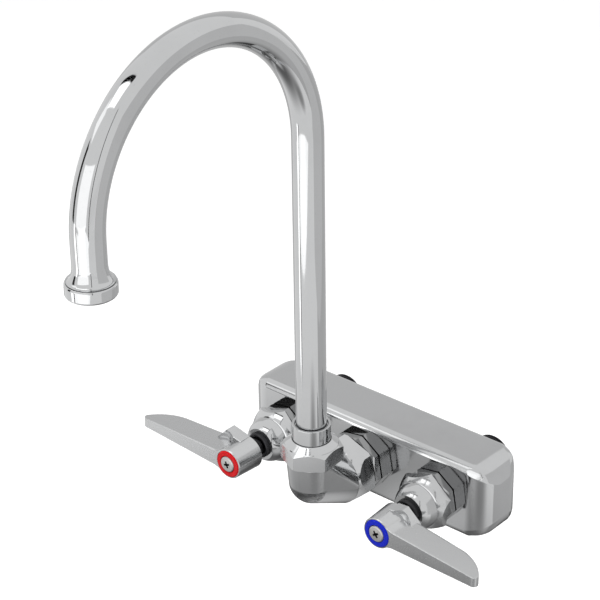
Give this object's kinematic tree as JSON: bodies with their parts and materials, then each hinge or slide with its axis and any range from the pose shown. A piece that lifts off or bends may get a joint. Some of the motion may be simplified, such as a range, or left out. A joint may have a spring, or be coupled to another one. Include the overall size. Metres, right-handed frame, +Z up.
{
  "type": "commercial wall faucet",
  "caption": "Wall-mounted kitchen faucet: block body on threaded inlets, elbow with a swivelling gooseneck spout, and winged lever handles with red and blue index rings.",
  "frame": {"origin": "middle of the body's wall face, level with the valve axes", "axes": "+X along the body towards the cold valve, +Y into the wall, +Z up"},
  "size_m": [0.229, 0.2464, 0.3007],
  "materials": {
    "chrome": "polished chrome plate",
    "brass": "machined",
    "dark_steel": "dark machined metal",
    "steel": "stainless steel",
    "rubber": "matt",
    "white_plastic": "low-friction plastic",
    "red_plastic": "gloss",
    "blue_plastic": "gloss"
  },
  "bodies": {
    "fixed_body": {"faucet_body": "chrome", "hot_inlet_shank": "dark_steel", "cold_inlet_shank": "dark_steel", "hot_port_ring": "chrome", "cold_port_ring": "chrome", "outlet_port_ring": "chrome", "hot_valve_seat": "brass", "cold_valve_seat": "brass", "hot_bonnet_gasket": "rubber", "cold_bonnet_gasket": "rubber", "hot_bonnet": "chrome", "cold_bonnet": "chrome", "hot_packing": "rubber", "cold_packing": "rubber", "hot_packing_nut": "dark_steel", "cold_packing_nut": "dark_steel", "elbow_gasket": "rubber", "outlet_elbow": "chrome", "swivel_nut": "chrome", "swivel_bush": "white_plastic"},
    "gooseneck": {"gooseneck_tube": "chrome", "swivel_sleeve": "chrome", "retaining_ring": "steel", "swivel_o_rings": "rubber", "outlet_collar": "chrome", "outlet_washer": "rubber", "stream_screen": "steel"},
    "hot_handle": {"hot_lever": "chrome", "hot_index_ring": "red_plastic", "hot_handle_screw": "steel", "hot_stem": "dark_steel", "hot_stem_seal": "rubber"},
    "cold_handle": {"cold_lever": "chrome", "cold_index_ring": "blue_plastic", "cold_handle_screw": "steel", "cold_stem": "dark_steel", "cold_stem_seal": "rubber"},
    "hot_valve": {"hot_plunger": "brass", "hot_seat_washer": "rubber", "hot_washer_screw": "brass"},
    "cold_valve": {"cold_plunger": "brass", "cold_seat_washer": "rubber", "cold_washer_screw": "brass"}
  },
  "joints": [
    {"name": "spout_swivel", "type": "hinge", "parent": "fixed_body", "child": "gooseneck", "pos_m": [0, -0.074, 0.03], "axis": [0, 0, 1], "continuous": true},
    {"name": "hot_handle_turn", "type": "hinge", "parent": "fixed_body", "child": "hot_handle", "pos_m": [-0.0508, -0.06, 0], "axis": [0, -1, 0], "range_deg": [0, 90]},
    {"name": "hot_valve_lift", "type": "slide", "parent": "fixed_body", "child": "hot_valve", "axis": [0, -1, 0], "range_m": [0, 0.0024]},
    {"name": "cold_handle_turn", "type": "hinge", "parent": "fixed_body", "child": "cold_handle", "pos_m": [0.0508, -0.06, 0], "axis": [0, 1, 0], "range_deg": [0, 90]},
    {"name": "cold_valve_lift", "type": "slide", "parent": "fixed_body", "child": "cold_valve", "axis": [0, -1, 0], "range_m": [0, 0.0024]}
  ],
  "couplings": [
    {"joint": "hot_valve_lift", "follows": "hot_handle_turn", "m_per_rad": 0.0015279},
    {"joint": "cold_valve_lift", "follows": "cold_handle_turn", "m_per_rad": 0.0015279}
  ]
}
